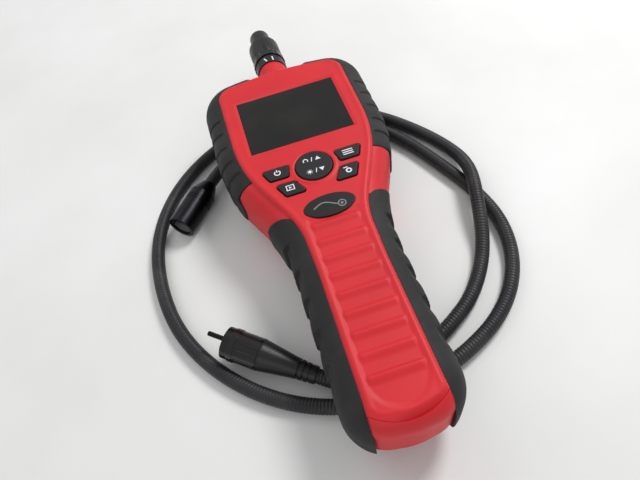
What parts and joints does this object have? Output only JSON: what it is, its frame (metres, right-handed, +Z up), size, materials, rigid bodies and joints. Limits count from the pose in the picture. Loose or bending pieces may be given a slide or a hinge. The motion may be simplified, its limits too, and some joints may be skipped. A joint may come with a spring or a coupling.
{
  "type": "inspection camera",
  "caption": "Hand-held inspection camera with a colour screen, cushion keys and battery handle, resting face up on its own coiled gooseneck probe with a round lit camera head.",
  "frame": {"origin": "on the surface that the object lies on, under the middle of the box round the handset, its dust cap and the camera head", "axes": "+X to the handset's right, +Y from the handle's end towards the probe socket, +Z up, out of the screen"},
  "size_m": [0.2082, 0.3058, 0.0498],
  "materials": {
    "red_shell": "satin crimson moulded ABS",
    "rubber_overmould": "matt charcoal elastomer",
    "black_key": "satin charcoal, pale printed symbols",
    "black_plastic": "satin black",
    "lock_ring": "glossy black",
    "badge": "dark oval inlay, printed pictogram",
    "screen_glass": "smoked display window",
    "display": "unlit LCD",
    "gasket": "foam",
    "circuit_board": "green solder mask",
    "keypad": "grey silicone",
    "white_mark": "white inlay",
    "inner_plastic": "plain ABS",
    "contact": "gold plated",
    "spring_steel": "nickel plated",
    "screw": "zinc plated",
    "socket_metal": "black anodised",
    "nut": "plain",
    "insulator": "glass-filled nylon",
    "oring": "nitrile",
    "cell": "plain jacketed cell, steel ends",
    "gooseneck": "black ribbed vinyl over a steel core",
    "head_metal": "black anodised",
    "head_glass": "clear flat window",
    "lamp": "white LEDs",
    "camera_black": "black"
  },
  "bodies": {
    "probe": {"probe_cable": "gooseneck", "camera_head_shell": "head_metal", "camera_window": "head_glass", "led_board": "circuit_board", "camera_leds": "lamp", "camera_module": "camera_black", "head_ferrule": "head_metal", "head_seal": "oring", "plug_strain_relief": "black_plastic", "plug_body": "black_plastic", "plug_insert": "insulator", "plug_contacts": "contact", "plug_key_pin": "spring_steel", "plug_seal": "oring"},
    "handset": {"front_shell": "red_shell", "back_shell": "red_shell", "housing_screws": "screw", "bumper_left": "rubber_overmould", "bumper_right": "rubber_overmould", "grip_left": "rubber_overmould", "grip_right": "rubber_overmould", "screen_window": "screen_glass", "display_gasket": "gasket", "display_module": "display", "main_board": "circuit_board", "keypad_mat": "keypad", "badge_plate": "badge", "battery_box": "inner_plastic", "battery_contacts": "spring_steel", "socket_body": "socket_metal", "socket_oring": "oring", "socket_insert": "insulator", "socket_contacts": "contact", "socket_nut": "nut", "socket_collar": "black_plastic", "index_marks": "white_mark"},
    "power_button": {"power_key": "black_key"},
    "playback_button": {"playback_key": "black_key"},
    "menu_button": {"menu_key": "black_key"},
    "shutter_button": {"shutter_key": "black_key"},
    "rocker": {"rocker_key": "black_key"},
    "battery_holder": {"battery_cap": "red_shell", "battery_tray": "inner_plastic", "battery_cells": "cell", "tray_contacts": "spring_steel", "cap_seal": "gasket"},
    "dust_cover": {"dust_cap": "black_plastic", "dust_cap_seal": "oring"},
    "dust_cover_ring": {"dust_cap_ring": "lock_ring"},
    "plug_ring": {"plug_lock_ring": "lock_ring"}
  },
  "joints": [
    {"name": "handset_lift", "type": "slide", "parent": "probe", "child": "handset", "axis": [0, 0, 1], "range_m": [0, 0.06]},
    {"name": "power_press", "type": "slide", "parent": "handset", "child": "power_button", "axis": [0, 0, -1], "range_m": [0, 0.0008], "stiffness_N_per_m": 800, "springref_m": -0.0005},
    {"name": "playback_press", "type": "slide", "parent": "handset", "child": "playback_button", "axis": [0, 0, -1], "range_m": [0, 0.0008], "stiffness_N_per_m": 800, "springref_m": -0.0005},
    {"name": "menu_press", "type": "slide", "parent": "handset", "child": "menu_button", "axis": [0, 0, -1], "range_m": [0, 0.0008], "stiffness_N_per_m": 800, "springref_m": -0.0005},
    {"name": "shutter_press", "type": "slide", "parent": "handset", "child": "shutter_button", "axis": [0, 0, -1], "range_m": [0, 0.0008], "stiffness_N_per_m": 800, "springref_m": -0.0005},
    {"name": "rocker_tilt", "type": "hinge", "parent": "handset", "child": "rocker", "pos_m": [0.0202, -0.0063, 0.04355], "axis": [1, 0, 0], "range_deg": [-3, 3], "stiffness_Nm_per_rad": 0.2},
    {"name": "battery_holder_slide", "type": "slide", "parent": "handset", "child": "battery_holder", "axis": [0, -1, 0], "range_m": [0, 0.075]},
    {"name": "dust_cover_slide", "type": "slide", "parent": "handset", "child": "dust_cover", "axis": [0, 1, 0], "range_m": [0, 0.06]},
    {"name": "dust_cover_ring_turn", "type": "hinge", "parent": "dust_cover", "child": "dust_cover_ring", "pos_m": [0.0202, 0.1185, 0.02915], "axis": [0, 1, 0], "range_deg": [0, 30]},
    {"name": "plug_ring_spin", "type": "hinge", "parent": "probe", "child": "plug_ring", "pos_m": [-0.04724, -0.07664, 0.01036], "axis": [-0.7849, 0.6105, 0.1059], "continuous": true}
  ]
}
